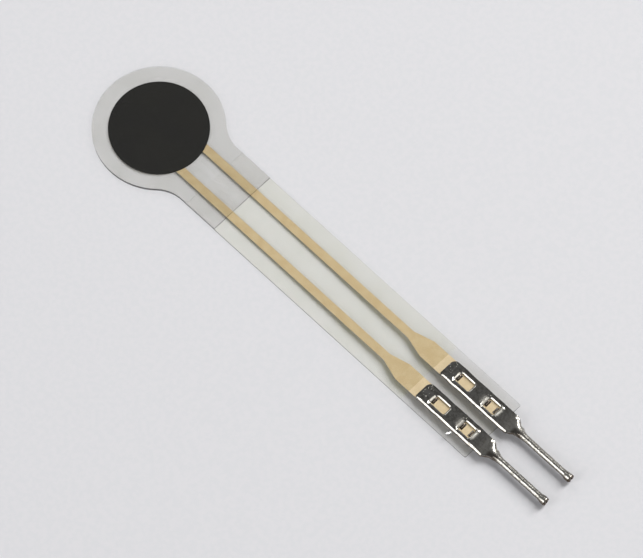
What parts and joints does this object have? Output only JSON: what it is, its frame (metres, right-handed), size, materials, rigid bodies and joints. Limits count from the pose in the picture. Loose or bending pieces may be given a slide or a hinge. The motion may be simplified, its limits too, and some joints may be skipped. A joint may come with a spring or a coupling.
{
  "type": "force sensing resistor",
  "caption": "Thin round force sensing resistor with a printed tail and crimped solder pins on a standard pitch.",
  "frame": {"origin": "centre of the sensing disc, on the underside of the lower film", "axes": "+X from the sensing disc along the tail to the pins, +Z out of the pressed side, +Y to the left contact"},
  "size_m": [0.0459, 0.0098, 0.0006],
  "materials": {
    "lower_film": "clear polyester film",
    "silver_ink": "fine silver-filled ink",
    "dielectric_coat": "clear satin coat",
    "adhesive": "clear pressure-sensitive adhesive",
    "carbon_ink": "matt carbon print",
    "upper_film": "clear polyester film",
    "tinned_contact": "bright tin over phosphor bronze"
  },
  "bodies": {
    "root": {"base_film": "lower_film", "electrode_left": "silver_ink", "electrode_right": "silver_ink", "cover_coat": "dielectric_coat", "spacer_adhesive": "adhesive", "sensing_layer": "carbon_ink", "top_film": "upper_film", "contact_left": "tinned_contact", "contact_right": "tinned_contact"}
  },
  "joints": []
}
